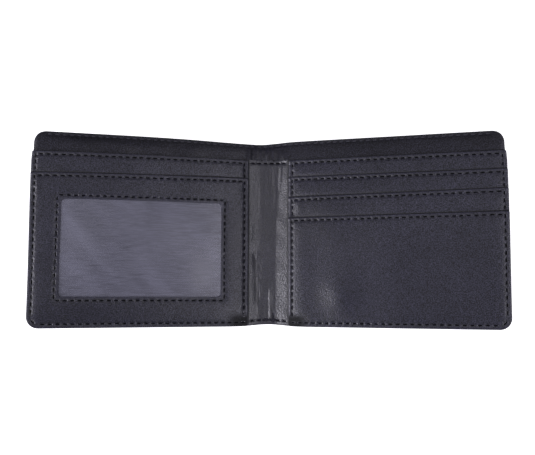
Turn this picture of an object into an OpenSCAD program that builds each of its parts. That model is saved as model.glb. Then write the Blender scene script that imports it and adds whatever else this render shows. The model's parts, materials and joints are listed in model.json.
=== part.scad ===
// Bifold wallet, lying open with its inside up.
//
// The outer cover is one long sheet that folds round a narrow spine. Its lined inner face is the
// back of the note compartment. The divider that closes the compartment carries an ID pocket with
// a clear window on the left and three card pockets on the right, all sewn round the edges.
//
// Every sheet is described in a flat layout: X runs from the spine's middle to the right, Y up to
// the mouth of the note compartment, and Z up from the outer face of the cover. raised_right() and
// raised_left() then turn a side about its fold line into the half-open position.

/* [Overall size] */
// Height of the outer cover, bottom edge to top edge
wallet_h = 92; // [85:0.5:105]
// Width of one pocket panel, inner seam to outer end
panel_w = 102.4; // [96:0.2:110]
// Width of the plain strip between the two pocket panels
spine_w = 20.6; // [16:0.2:26]
// Radius of the four outer corners
corner_r = 5.5; // [4:0.5:9]

/* [Folds] */
// Angle at which each side stands above the surface
rest_angle = 12.5; // [0:0.5:20]
// Distance between the two fold lines
fold_spacing = 10; // [8:0.5:14]
// Free width at each fold line between the spine and a side
fold_clearance = 0.3; // [0.2:0.05:0.5]

/* [Sheet thicknesses] */
// Outer cover
cover_t = 1; // [0.8:0.1:1.4]
// Stiffening card inside the cover
stiffener_t = 0.3; // [0.2:0.05:0.5]
// Woven linings of the note compartment
lining_t = 0.2; // [0.15:0.05:0.3]
// Empty depth of the note compartment
note_gap = 0.5; // [0.4:0.1:1.5]
// Backed fabric behind the pockets, and the plain spine strip beside it
backing_t = 0.4; // [0.3:0.05:0.6]
// Each pocket panel
pocket_t = 0.5; // [0.4:0.05:0.8]
// Clear window film
film_t = 0.25; // [0.2:0.05:0.4]
// Thin fabric that lengthens the two hidden card pockets
pocket_lining_t = 0.15; // [0.1:0.05:0.2]

/* [Rows of the inside] */
// Depth below the cover's top edge of the divider's top edge
divider_drop = 9.7; // [8:0.1:14]
// Depth of the ID pocket's top edge
id_pocket_drop = 19.5; // [17:0.1:24]
// Depth of the upper card pocket's top edge
card_drop_1 = 18.4; // [17:0.1:22]
// Depth of the middle card pocket's top edge
card_drop_2 = 28; // [26:0.1:32]
// Depth of the front card pocket's top edge
front_drop = 38.7; // [36:0.1:44]
// Height of a pocket strip, most of it tucked behind the next one
strip_h = 15; // [13:0.5:18]
// Depth of the hidden card pockets, mouth to bottom
card_depth = 51; // [48:0.5:54]

/* [ID window] */
// Width of the window opening
window_w = 75.4; // [68:0.2:80]
// Height of the window opening
window_h = 45.8; // [40:0.2:48]
// Height of the window's lower edge above the wallet's bottom edge
window_margin = 14; // [11:0.1:15]
// Corner radius of the window opening
window_r = 1.8; // [1:0.1:4]

/* [Sewn margins] */
// Width of the cover's turned-in margin
cover_hem_w = 6; // [5:0.5:8]
// Width of the pockets' turned-in margins
pocket_hem_w = 3.5; // [3:0.5:5]
// Free width where two turned-in margins meet at a corner
mitre_gap = 0.1; // [0.05:0.05:0.3]

/* [Stitching] */
// Distance from one stitch to the next
stitch_pitch = 3.3; // [2.8:0.1:4]
// Share of the pitch that the visible thread covers
stitch_fill = 0.7; // [0.5:0.05:0.85]
// Width of the thread
stitch_w = 0.5; // [0.4:0.05:0.7]
// Height of the thread above the sheet
stitch_h = 0.2; // [0.1:0.05:0.3]
// Distance of the edge seams from the wallet's edge
edge_inset = 1.9; // [1.5:0.1:2.5]
// Distance of the inner seams from the panels' inner edges
seam_inset = 1.9; // [1.5:0.1:2.5]
// Distance of the hem seams below a turned edge
hem_inset = 1.5; // [1.2:0.1:2.5]

/* [Hidden] */
$fn = 48;

// Landmarks of the flat layout
top_y = wallet_h / 2;
bottom_y = -wallet_h / 2;
fold_x = fold_spacing / 2;
seam_x = spine_w / 2;
end_x = seam_x + panel_w;
side_x = fold_x + fold_clearance / 2;
spine_half = fold_x - fold_clearance / 2;

// Heights of the sheets above the outer face, from the outside in
lining_z = cover_t + stiffener_t;
note_floor_z = lining_z + lining_t;
divider_z = note_floor_z + note_gap;
backing_z = divider_z + lining_t;
band_z = backing_z + backing_t;
fold_z = band_z;
pocket_1_z = band_z + pocket_t;
pocket_2_z = pocket_1_z + pocket_t;
front_z = pocket_2_z + pocket_t;
id_pocket_z = pocket_1_z;
film_z = id_pocket_z - film_t;

// How far a sheet runs on behind the edge of the one in front of it
tuck = 5;
// How far the plain spine strip runs on behind the pocket panels
strip_tuck = 3.5;
// How far the film runs on beyond the window
film_margin = 4.5;
// Clear distance between a stitch row's end and a fold line or a sheet's edge
row_end = 0.6;
// Distance of the film's seam from the window's edge
window_seam = 1.7;
// Extra length of a cutting shape at each end
cut_margin = 1;

// Rows and edges that follow from the sizes above
facing_h = divider_drop + tuck;
film_drop = wallet_h - window_margin - window_h - film_margin;
divider_y = top_y - divider_drop;
band_low_y = top_y - id_pocket_drop - tuck;

leather = [0.13, 0.13, 0.16];
lining_colour = [0.18, 0.18, 0.22];
card_colour = [0.45, 0.42, 0.38];
film_colour = [0.55, 0.56, 0.66, 0.5];
thread = [0.04, 0.04, 0.05];

// ---------------------------------------------------------------- positions of the two sides

module raised_right() {
    translate([fold_x, 0, fold_z])
        rotate([0, -rest_angle, 0])
            translate([-fold_x, 0, -fold_z])
                children();
}

module raised_left() {
    mirror([1, 0, 0])
        raised_right()
            children();
}

// ---------------------------------------------------------------- shapes that repeat

// Plain rectangular sheet
module sheet(x0, x1, y0, y1, z, t) {
    translate([x0, y0, z])
        cube([x1 - x0, y1 - y0, t]);
}

// Outline of one side of the cover: two outer corners are round
module side_outline() {
    translate([side_x, bottom_y])
        square([end_x - corner_r - side_x, wallet_h]);
    translate([end_x - corner_r, bottom_y + corner_r])
        square([corner_r, wallet_h - 2 * corner_r]);
    for (y = [bottom_y + corner_r, top_y - corner_r])
        translate([end_x - corner_r, y])
            circle(r = corner_r);
}

// Sheet that ends flush with the cover, so that it shares the cover's round corners
module side_sheet(x0, y0, y1, z, t) {
    intersection() {
        translate([0, 0, z])
            linear_extrude(t)
                side_outline();
        sheet(x0, end_x + cut_margin, y0, y1, z - cut_margin, t + 2 * cut_margin);
    }
}

// Bars of a turned-in margin along the outer end and the bottom edge
module end_and_bottom_bars(x0, y1, w, z, t) {
    side_sheet(end_x - w, bottom_y, y1, z, t);
    sheet(x0, end_x - w - mitre_gap, bottom_y, bottom_y + w, z, t);
}

// Bars of a turned-in margin along the inner seam, the outer end and the bottom edge
module three_bars(y1, w, z, t) {
    end_and_bottom_bars(seam_x, y1, w, z, t);
    sheet(seam_x, seam_x + w, bottom_y + w + mitre_gap, y1, z, t);
}

// One visible stitch, lying along X on a sheet at height z
module stitch(length, z) {
    color(thread)
        translate([-length / 2, -stitch_w / 2, z])
            cube([length, stitch_w, stitch_h]);
}

// Row of stitches from point a to point b on a sheet at height z
module stitch_row(a, b, z) {
    run = b - a;
    count = max(1, round(norm(run) / stitch_pitch));
    step = norm(run) / count;
    for (i = [0 : count - 1])
        translate(a + run * (i + 0.5) / count)
            rotate([0, 0, atan2(run[1], run[0])])
                stitch(step * stitch_fill, z);
}

// The same row on the sheet's face at z and on the far face at z_back, as one thread leaves it
module through_row(a, b, z, z_back) {
    stitch_row(a, b, z);
    stitch_row(a, b, z_back - stitch_h);
}

// The single stitch that turns the bottom outer corner
module corner_stitch(z) {
    turn_r = corner_r - edge_inset;
    translate([end_x - corner_r, bottom_y + corner_r])
        rotate([0, 0, -45])
            translate([turn_r, 0])
                rotate([0, 0, 90])
                    stitch(stitch_pitch * stitch_fill, z);
}

// Edge seam of one side. Each step is [top row, bottom row, height of the top sheet].
module edge_seam(steps) {
    x = end_x - edge_inset;
    last = steps[len(steps) - 1];
    bottom_row = bottom_y + edge_inset;
    for (s = steps)
        through_row([x, s[0] - row_end], [x, max(s[1], bottom_y + corner_r) + row_end / 2], s[2], 0);
    for (z = [last[2], -stitch_h])
        corner_stitch(z);
    through_row([end_x - corner_r, bottom_row], [seam_x + row_end, bottom_row], last[2], 0);
    through_row([seam_x - row_end, bottom_row], [side_x + row_end, bottom_row], band_z, 0);
}

// Inner seam of one side, inside face only, because the note compartment stays open behind it
module inner_seam(steps) {
    x = seam_x + seam_inset;
    for (s = steps)
        stitch_row([x, s[0] - row_end], [x, max(s[1], bottom_y + 2 * edge_inset) + row_end / 2], s[2]);
}

// Seam below a turned top edge, between the inner seam and the edge seam
module hem_seam(drop, z) {
    y = top_y - drop - hem_inset;
    stitch_row([seam_x + seam_inset + row_end, y], [end_x - edge_inset - row_end, y], z);
}

// ---------------------------------------------------------------- sheets both sides share

module cover_side() {
    color(leather)
        side_sheet(side_x, bottom_y, top_y, 0, cover_t);
}

module stiffener_side() {
    color(card_colour)
        side_sheet(seam_x, bottom_y + cover_hem_w, top_y - facing_h, cover_t, stiffener_t);
}

module facing_side() {
    color(leather)
        side_sheet(side_x, top_y - facing_h, top_y, cover_t, note_floor_z - cover_t);
}

module note_lining_side() {
    color(lining_colour)
        side_sheet(side_x, bottom_y, top_y - facing_h, lining_z, lining_t);
}

module cover_hem_side() {
    color(leather)
        end_and_bottom_bars(side_x, divider_y, cover_hem_w, note_floor_z, note_gap);
}

module divider_lining_side() {
    color(lining_colour)
        side_sheet(side_x, bottom_y, divider_y, divider_z, lining_t);
}

module spine_strip_side() {
    color(leather)
        sheet(side_x, seam_x + strip_tuck, bottom_y, divider_y, backing_z, backing_t);
}

module pocket_back_side() {
    color(lining_colour)
        side_sheet(seam_x + strip_tuck, bottom_y, divider_y, backing_z, backing_t);
}

module divider_band_side() {
    color(leather)
        side_sheet(seam_x, band_low_y, divider_y, band_z, pocket_t);
}

module divider_stitches_side() {
    y = divider_y - hem_inset;
    hem_seam(divider_drop, pocket_1_z);
    stitch_row([side_x + row_end, y], [seam_x - row_end, y], band_z);
}

module facing_stitches_side() {
    y = top_y - hem_inset;
    through_row([side_x + row_end, y], [end_x - corner_r, y], note_floor_z, 0);
}

// ---------------------------------------------------------------- the spine

module cover_spine() {
    color(leather)
        sheet(-spine_half, spine_half, bottom_y, top_y, 0, cover_t);
}

module facing_spine() {
    color(leather)
        sheet(-spine_half, spine_half, top_y - facing_h, top_y, cover_t, note_floor_z - cover_t);
}

module note_lining_spine() {
    color(lining_colour)
        sheet(-spine_half, spine_half, bottom_y, top_y - facing_h, cover_t, lining_t);
}

module cover_hem_spine() {
    z = cover_t + lining_t;
    color(leather)
        sheet(-spine_half, spine_half, bottom_y, bottom_y + cover_hem_w, z, divider_z - z);
}

module divider_lining_spine() {
    color(lining_colour)
        sheet(-spine_half, spine_half, bottom_y, divider_y, divider_z, lining_t);
}

module spine_strip() {
    color(leather)
        sheet(-spine_half, spine_half, bottom_y, divider_y, backing_z, backing_t);
}

// Row across the spine, clear of both fold lines
module spine_row(y, z) {
    reach = spine_half - row_end;
    stitch_row([-reach, y], [reach, y], z);
}

module divider_stitches_spine() {
    spine_row(divider_y - hem_inset, band_z);
}

module facing_stitches_spine() {
    spine_row(top_y - hem_inset, note_floor_z);
}

module edge_stitches_spine() {
    spine_row(bottom_y + edge_inset, band_z);
}

// ---------------------------------------------------------------- the left side: ID pocket

// Lower inner corner of the window, on the right-hand layout that raised_left() mirrors
window_x = seam_x + (panel_w - window_w) / 2;
window_y = bottom_y + window_margin;

// The pocket panel round its window
module id_pocket_panel() {
    color(leather)
        difference() {
            side_sheet(seam_x, bottom_y, top_y - id_pocket_drop, id_pocket_z, pocket_t);
            translate([window_x, window_y, id_pocket_z - cut_margin])
                linear_extrude(pocket_t + 2 * cut_margin)
                    rounded_rectangle(window_w, window_h, window_r);
        }
}

// Rectangle from the origin with four round corners
module rounded_rectangle(w, h, r) {
    translate([r, 0])
        square([w - 2 * r, h]);
    translate([0, r])
        square([w, h - 2 * r]);
    for (x = [r, w - r], y = [r, h - r])
        translate([x, y])
            circle(r = r);
}

module window_film() {
    color(film_colour)
        side_sheet(seam_x, bottom_y, top_y - film_drop, film_z, film_t);
}

module id_pocket_hem() {
    color(leather)
        three_bars(top_y - film_drop, pocket_hem_w, band_z, film_z - band_z);
}

// Seam that holds the film, just outside the window
module window_seam_rows() {
    x0 = window_x - window_seam;
    x1 = window_x + window_w + window_seam;
    y0 = window_y - window_seam;
    y1 = window_y + window_h + window_seam;
    corners = [[x0, y0], [x1, y0], [x1, y1], [x0, y1]];
    for (i = [0 : 3])
        stitch_row(corners[i], corners[(i + 1) % 4], id_pocket_z + pocket_t);
}

left_steps = [
    [divider_y, top_y - id_pocket_drop, pocket_1_z],
    [top_y - id_pocket_drop, bottom_y, id_pocket_z + pocket_t]
];

// ---------------------------------------------------------------- the right side: card pockets

module pocket_strip(drop, z) {
    color(leather)
        side_sheet(seam_x, top_y - drop - strip_h, top_y - drop, z, pocket_t);
}

// Fabric that carries a pocket down from its strip to the depth of a card
module pocket_lining(drop, z) {
    x0 = seam_x + pocket_hem_w + mitre_gap;
    x1 = end_x - pocket_hem_w - mitre_gap;
    color(lining_colour)
        sheet(x0, x1, top_y - drop - card_depth, top_y - drop - strip_h, z, pocket_lining_t);
}

module front_pocket_panel() {
    color(leather)
        side_sheet(seam_x, bottom_y, top_y - front_drop, front_z, pocket_t);
}

module front_pocket_margin() {
    color(leather)
        three_bars(top_y - card_drop_2 - strip_h, pocket_hem_w, band_z, front_z - band_z);
}

right_steps = [
    [divider_y, top_y - card_drop_1, pocket_1_z],
    [top_y - card_drop_1, top_y - card_drop_2, pocket_2_z],
    [top_y - card_drop_2, top_y - front_drop, front_z],
    [top_y - front_drop, bottom_y, front_z + pocket_t]
];

// ---------------------------------------------------------------- the wallet

cover_spine();
facing_spine();
note_lining_spine();
cover_hem_spine();
divider_lining_spine();
spine_strip();
divider_stitches_spine();
facing_stitches_spine();
edge_stitches_spine();

raised_left() cover_side();  // cover_left
raised_left() stiffener_side();  // stiffener_left
raised_left() facing_side();  // facing_left
raised_left() note_lining_side();  // note_lining_left
raised_left() cover_hem_side();  // cover_hem_left
raised_left() divider_lining_side();  // divider_lining_left
raised_left() spine_strip_side();  // spine_strip_left
raised_left() pocket_back_side();  // pocket_back_left
raised_left() divider_band_side();  // divider_band_left
raised_left() window_film();
raised_left() id_pocket_hem();
raised_left() id_pocket_panel();  // id_pocket
raised_left() divider_stitches_side();  // divider_stitches_left
raised_left() facing_stitches_side();  // facing_stitches_left
raised_left() inner_seam(left_steps);  // seam_stitches_left
raised_left() edge_seam(left_steps);  // edge_stitches_left
raised_left() hem_seam(id_pocket_drop, id_pocket_z + pocket_t);  // id_pocket_stitches
raised_left() window_seam_rows();  // window_stitches

raised_right() cover_side();  // cover_right
raised_right() stiffener_side();  // stiffener_right
raised_right() facing_side();  // facing_right
raised_right() note_lining_side();  // note_lining_right
raised_right() cover_hem_side();  // cover_hem_right
raised_right() divider_lining_side();  // divider_lining_right
raised_right() spine_strip_side();  // spine_strip_right
raised_right() pocket_back_side();  // pocket_back_right
raised_right() divider_band_side();  // divider_band_right
raised_right() pocket_strip(card_drop_1, pocket_1_z);  // card_pocket_upper
raised_right() pocket_lining(card_drop_1, pocket_1_z);  // card_lining_upper
raised_right() pocket_strip(card_drop_2, pocket_2_z);  // card_pocket_middle
raised_right() pocket_lining(card_drop_2, pocket_2_z);  // card_lining_middle
raised_right() front_pocket_margin();  // front_pocket_hem
raised_right() front_pocket_panel();  // front_pocket
raised_right() divider_stitches_side();  // divider_stitches_right
raised_right() facing_stitches_side();  // facing_stitches_right
raised_right() inner_seam(right_steps);  // seam_stitches_right
raised_right() edge_seam(right_steps);  // edge_stitches_right
raised_right() hem_seam(card_drop_1, pocket_2_z);  // upper_pocket_stitches
raised_right() hem_seam(card_drop_2, front_z);  // middle_pocket_stitches
raised_right() hem_seam(front_drop, front_z + pocket_t);  // front_pocket_stitches
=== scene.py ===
"""Looks of a bifold wallet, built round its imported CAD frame.

Every sheet is laid out flat, in millimetres, as the CAD lays it out: X runs from the spine's middle
to the right, Y up to the mouth of the note compartment, Z up from the cover's outer face. place()
bends a flat point round the fold line on its side into the half-open rest position, in metres.
Sheets that cross the spine are made as two halves that meet at X = 0, one for each fold.
"""

import json
import math

import bmesh
import bpy
import numpy as np
from mathutils import Matrix, Vector


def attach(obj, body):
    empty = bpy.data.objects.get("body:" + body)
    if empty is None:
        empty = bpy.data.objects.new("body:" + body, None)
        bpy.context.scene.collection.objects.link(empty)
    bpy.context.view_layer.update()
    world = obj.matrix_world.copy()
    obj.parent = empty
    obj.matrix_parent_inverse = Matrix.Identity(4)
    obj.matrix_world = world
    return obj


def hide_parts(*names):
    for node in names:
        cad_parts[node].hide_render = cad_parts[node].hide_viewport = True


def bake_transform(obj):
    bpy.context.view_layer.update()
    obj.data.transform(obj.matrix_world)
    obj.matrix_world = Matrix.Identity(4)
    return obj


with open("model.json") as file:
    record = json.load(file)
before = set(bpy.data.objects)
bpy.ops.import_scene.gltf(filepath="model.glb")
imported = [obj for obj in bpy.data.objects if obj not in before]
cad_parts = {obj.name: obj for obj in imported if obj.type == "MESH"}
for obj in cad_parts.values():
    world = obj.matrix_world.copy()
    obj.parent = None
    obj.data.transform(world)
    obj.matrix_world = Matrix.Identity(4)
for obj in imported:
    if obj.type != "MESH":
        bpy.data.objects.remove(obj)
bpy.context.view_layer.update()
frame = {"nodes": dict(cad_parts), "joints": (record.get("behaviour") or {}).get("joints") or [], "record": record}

MM = 0.001
LEFT, RIGHT = -1, 1
WORD = {LEFT: "left", RIGHT: "right"}

# ------------------------------------------------------------------ the frame, read back flat

fold = next(j for j in frame["joints"] if j["name"] == "fold_right")
FOLD_X = fold["pos_m"][0] / MM
FOLD_Z = fold["pos_m"][2] / MM
REST_ANGLE = math.radians(-fold["range_deg"][0])

# A sheet that crosses a fold bends between these two distances from the spine's middle
BEND_FROM = FOLD_X - 3.5
BEND_TO = FOLD_X + 3.5


def smoothstep(value, low, high):
    t = np.clip((value - low) / (high - low), 0, 1)
    return t * t * (3 - 2 * t)


def hump(distance, width):
    """1 at no distance, falling smoothly to 0 over about twice the width."""
    return np.exp(-(distance / width) ** 2)


def turned(points, angle):
    """Points of the right side turned about its fold line, by one angle or one for each point."""
    x = points[:, 0] - FOLD_X
    z = points[:, 2] - FOLD_Z
    c, s = np.cos(angle), np.sin(angle)
    return np.column_stack([FOLD_X + x * c - z * s, points[:, 1], FOLD_Z + x * s + z * c])


def flat_points(node):
    """A CAD node's vertices in the flat layout, in millimetres."""
    points = np.array([v.co for v in frame["nodes"][node].data.vertices]) / MM
    side = np.where(points[:, 0] < 0, LEFT, RIGHT)
    if node in frame["record"]["behaviour"]["bodies"]["spine"]:
        return points
    points[:, 0] *= side
    points = turned(points, -REST_ANGLE)
    points[:, 0] *= side
    return points


def flat_box(node):
    """(lowest, highest) X, Y and Z of a node of the right side, or of the left side seen mirrored."""
    points = flat_points(node)
    if points[:, 0].max() < 0:
        points[:, 0] *= LEFT
    return points.min(0), points.max(0)


def islands(mesh):
    """The vertices of each separate solid in a bmesh."""
    left = set(mesh.verts)
    while left:
        island, todo = [], [left.pop()]
        while todo:
            vertex = todo.pop()
            island.append(vertex.co.copy())
            linked = {edge.other_vert(vertex) for edge in vertex.link_edges} & left
            left -= linked
            todo += linked
        yield np.array(island)


def as_stitch(corners):
    """(x, y, height of its lower face, direction x, direction y) of a stitch from its bar's corners."""
    centre = corners.mean(0)
    direction = np.linalg.svd(corners[:, :2] - centre[:2])[2][0]
    if direction.sum() < 0:
        direction = -direction
    return [*centre[:2], corners[:, 2].min(), *direction]


def stitches_of(nodes):
    """One row for each stitch of the CAD's thread nodes, which hold one solid for each stitch."""
    found = []
    for node in nodes:
        mesh = bmesh.new()
        mesh.from_mesh(frame["nodes"][node].data)
        for vertex, point in zip(mesh.verts, flat_points(node)):
            vertex.co = point
        bmesh.ops.remove_doubles(mesh, verts=mesh.verts, dist=0.01)
        found += [as_stitch(island) for island in islands(mesh)]
        mesh.free()
    return np.array(sorted(found))


cover_low, cover_high = flat_box("cover_right")
TOP = cover_high[1]
BOTTOM = cover_low[1]
END = cover_high[0]
CORNER = 5.5
SEAM = flat_box("front_pocket")[0][0]
DIVIDER_TOP = flat_box("divider_band_right")[1][1]

# ------------------------------------------------------------------ how the sewn wallet gives

SHEETS_BELOW_SEAM = 2.2
EDGE_PRESS = 0.04
SEAM_PRESS = 0.12
PRESS_REACH = 3.5
WARP = 0.35
LEFT_BULGE = 1.4
BULGE_FOOT = 14
BULGE_FROM, BULGE_TO = 1.6, 2.2
DIP_X = -4
DIP_LEFT, DIP_RIGHT = 32, 9
TOP_DIP = 1.15
TOP_SPREAD = 0.5
BOTTOM_RISE = 0.9
RISE_REACH = 9
BOTTOM_SPREAD = 0.45
END_SPREAD = 0.95
END_REACH = 20


def warp(x, y):
    """The slow unevenness of a used panel, from nothing at its seam to the most at its end."""
    slow = np.sin(0.05 * y + x / 60) + 0.5 * np.sin(0.06 * x + 0.03 * y)
    return WARP * smoothstep(np.abs(x), SEAM, END) * slow


def left_bulge(x, y, z):
    """The arch of the window's pockets; the sheets below BULGE_FROM stay flat."""
    across = (np.abs(x) - (SEAM + END) / 2) / ((END - SEAM) / 2)
    arch = np.maximum(1 - across ** 2, 0) * smoothstep(y, BOTTOM, BOTTOM + BULGE_FOOT)
    return LEFT_BULGE * arch * (x < 0) * smoothstep(z, BULGE_FROM, BULGE_TO)


def spread(x, y):
    """How far the full pockets push the ends out: less at the bottom corners and at the mouth."""
    low = smoothstep(y, BOTTOM, DIVIDER_TOP - 6)
    high = 1 - 0.5 * smoothstep(y, DIVIDER_TOP - 5, DIVIDER_TOP + 3)
    return np.sign(x) * END_SPREAD * low * high * smoothstep(np.abs(x), END - END_REACH, END)


def settled(points):
    """Flat points moved as sewing and use move them.

    The stack is pressed at its seams and slightly warped, and the window's pockets bulge. Its top
    edge dips at the spine, its bottom edge is drawn up there, and its ends are spread.
    """
    x, y, z = points.T.copy()
    out = np.abs(x)
    z = z * (1 - EDGE_PRESS * hump(np.minimum(END - out, y - BOTTOM), PRESS_REACH))
    stack = np.maximum(z - SHEETS_BELOW_SEAM, 0)
    z = z - SEAM_PRESS * stack * hump(out - SEAM, PRESS_REACH)
    z = z + warp(x, y)
    z = z + left_bulge(x, y, z)
    above = smoothstep(y, DIVIDER_TOP + 1, TOP)
    below = smoothstep(-y, 30, -BOTTOM)
    sideways = spread(x, y)
    y = y + above * (TOP_SPREAD - TOP_DIP * hump(x - DIP_X, np.where(x < DIP_X, DIP_LEFT, DIP_RIGHT)))
    y = y + below * (BOTTOM_RISE * hump(x, RISE_REACH) - BOTTOM_SPREAD)
    return np.column_stack([x + sideways, y, z])


def place(points):
    """Flat layout to the rest position, in metres."""
    points = settled(points)
    side = np.where(points[:, 0] < 0, LEFT, RIGHT)
    points[:, 0] *= side
    points = turned(points, REST_ANGLE * smoothstep(points[:, 0], BEND_FROM, BEND_TO))
    points[:, 0] *= side
    return points * MM


# ------------------------------------------------------------------ stitches

PITCH = 3.3
STITCH = 2.3
THREAD = 0.3
SPINE_STITCHES = 3
SPINE_PITCH = 3.15

# Heights of the faces that carry a row across the spine: the cover's outside, the facing, the strip
OUTSIDE = -0.2
FACING_TOP = 1.5
STRIP_TOP = 2.6
SPINE_ROWS = {"divider": (STRIP_TOP,), "edge": (STRIP_TOP, OUTSIDE), "facing": (FACING_TOP, OUTSIDE)}


def spine_row_y(kind):
    return stitches_of([kind + "_stitches_spine"])[0][1]


def spine_row(side, y, z):
    """Half of a row of stitches across the spine."""
    places = [side * SPINE_PITCH * (i + 0.5) for i in range(SPINE_STITCHES)]
    return np.array([[x, y, z, 1, 0] for x in places])


def side_stitches(side):
    """Every stitch of one side, by the CAD node that it comes from."""
    word = WORD[side]
    nodes = [n for n in frame["record"]["behaviour"]["bodies"][word + "_panel"] if "stitches" in n]
    rows = {}
    for node in nodes:
        found = stitches_of([node])
        rows[node] = found[np.abs(found[:, 0]) > SEAM]
    for kind, heights in SPINE_ROWS.items():
        node = f"{kind}_stitches_{word}"
        y = spine_row_y(kind)
        rows[node] = np.vstack([rows[node], *[spine_row(side, y, z) for z in heights]])
    return rows


STITCHES = {side: side_stitches(side) for side in (LEFT, RIGHT)}


def stitches_at(side, height):
    """The stitches that lie on the surface at this height; both sides' where they meet at the spine."""
    found = []
    for other in (LEFT, RIGHT):
        rows = np.vstack(list(STITCHES[other].values()))
        rows = rows[np.abs(rows[:, 2] - height) < 0.05]
        found.append(rows if other == side else rows[np.abs(rows[:, 0]) < SEAM])
    return np.vstack(found)


# ------------------------------------------------------------------ relief of a soft sheet
# A relief is a function from flat points (x, y) to a height in millimetres.

GROOVE = 0.1
DENT = 0.36
DENT_HALF = 0.75


def seam_terms(xy, stitches):
    """For each point: the distance to the nearest seam, and how deep in a stitch's dent it lies."""
    nearest = np.full(len(xy), 1e3)
    dent = np.zeros(len(xy))
    for x, y, _, dx, dy in stitches:
        ox, oy = xy[:, 0] - x, xy[:, 1] - y
        along = np.abs(ox * dx + oy * dy)
        across = np.abs(oy * dx - ox * dy)
        nearest = np.minimum(nearest, np.hypot(across, np.maximum(along - 0.6 * PITCH, 0)))
        dent = np.maximum(dent, hump(across, 0.55) * hump(np.maximum(along - DENT_HALF, 0), 0.45))
    return nearest, dent


def sewn(stitches, crown, reach=3.5):
    """A groove along each seam, a dent under each stitch, and a crown away from the seams."""
    def relief(xy):
        nearest, dent = seam_terms(xy, stitches)
        return crown * (1 - hump(nearest, reach)) - GROOVE * hump(nearest, 0.8) - DENT * dent
    return relief


def waves(seed, height, length):
    """Slow unevenness, as a sum of a few sine waves."""
    rng = np.random.default_rng(seed)
    turns = rng.uniform(0, 2 * math.pi, 6)
    phases = rng.uniform(0, 2 * math.pi, 6)
    lengths = length * rng.uniform(0.7, 1.8, 6)

    def relief(xy):
        total = np.zeros(len(xy))
        for turn, phase, size in zip(turns, phases, lengths):
            run = xy[:, 0] * math.cos(turn) + xy[:, 1] * math.sin(turn)
            total += np.sin(2 * math.pi * run / size + phase)
        return height * total / 2.5
    return relief


def creases(*each):
    """Creases that run up the sheet: (x, lowest y, highest y, height, width) each."""
    def relief(xy):
        total = np.zeros(len(xy))
        for x, low, high, height, width in each:
            bow = x + 0.5 * np.sin(0.11 * (xy[:, 1] - low) + x)
            ends = smoothstep(xy[:, 1], low, low + 5) * (1 - smoothstep(xy[:, 1], high - 5, high))
            total += height * ends * hump(xy[:, 0] - bow, width)
        return total
    return relief


def dimples(*each):
    """Pressed-in places: (x, y, depth, width, height) each."""
    def relief(xy):
        return -sum(d * hump(xy[:, 0] - x, w) * hump(xy[:, 1] - y, h) for x, y, d, w, h in each)
    return relief


def mouth(edge_y, height=0.3, reach=2.2):
    """The turned top edge of a pocket, thicker than the sheet below it."""
    def relief(xy):
        return height * smoothstep(xy[:, 1], edge_y - reach, edge_y - 0.35 * reach)
    return relief


def slant(edge_y, inner=0.0, outer=0.0):
    """A pocket's top edge as y for each x: raised by inner at the spine's end and outer at the other."""
    def line(x):
        return edge_y + inner + (outer - inner) * (np.abs(x) - SEAM) / (END - SEAM)
    return line


def behind(edge, relief, depth=0.15):
    """That relief where the sheet shows, and pressed flat where it runs on behind a pocket's edge."""
    def both(xy):
        shown = smoothstep(xy[:, 1] - edge(xy[:, 0]), -0.2, 1.4)
        return shown * relief(xy) - depth * (1 - shown)
    return both


def shadow_of(edge):
    """How deep a point lies in the crevice at a pocket's edge, from 0 to 1."""
    def shade(xy):
        return 1 - smoothstep(xy[:, 1] - edge(xy[:, 0]), 0.25, 0.95)
    return shade


def corner_shadow(xy):
    """The darkened place at a panel's bottom corner beside the strip."""
    beside = smoothstep(SEAM + 12 - np.abs(xy[:, 0]), 0, 7)
    return 0.95 * beside * smoothstep(BOTTOM + 7 - xy[:, 1], 0, 3.5)


def together(*reliefs):
    return lambda xy: sum(relief(xy) for relief in reliefs)


def level(xy):
    return np.zeros(len(xy))


# ------------------------------------------------------------------ meshes

SEAM_LINES = (-1.3, -0.8, -0.4, 0, 0.4, 0.8, 1.3)
EDGE_LINES = (0.25, 0.5, 0.8, 1.15)
BEVEL = 0.22
BEVEL_REACH = 0.6
RIM_STEPS = 5
FINE = 0.55
COARSE = 2.5
THINNEST = 0.08


def lines(low, high, step, seams=()):
    """Grid lines from low to high, with closer ones at each seam and at both ends."""
    near = [low + o for o in EDGE_LINES] + [high - o for o in EDGE_LINES] if step < COARSE else []
    near += [s + o for s in seams for o in SEAM_LINES if low + 1.3 < s + o < high - 1.3]
    base = np.linspace(low, high, max(2, round((high - low) / step) + 1))[1:-1]
    kept = [b for b in base if all(abs(b - n) > 0.3 for n in near)]
    return np.array(sorted([low, high, *near, *kept]))


def round_corner(points, centre, sign_x, sign_y):
    """Bends the square corner of a grid beyond that centre into a quarter disc."""
    a = (points[:, 0] - centre[0]) * sign_x
    b = (points[:, 1] - centre[1]) * sign_y
    inside = (a > 0) & (b > 0)
    a, b = a[inside], b[inside]
    scale = np.maximum(a, b) / np.hypot(a, b)
    points[inside, 0] = centre[0] + sign_x * a * scale
    points[inside, 1] = centre[1] + sign_y * b * scale


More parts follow.
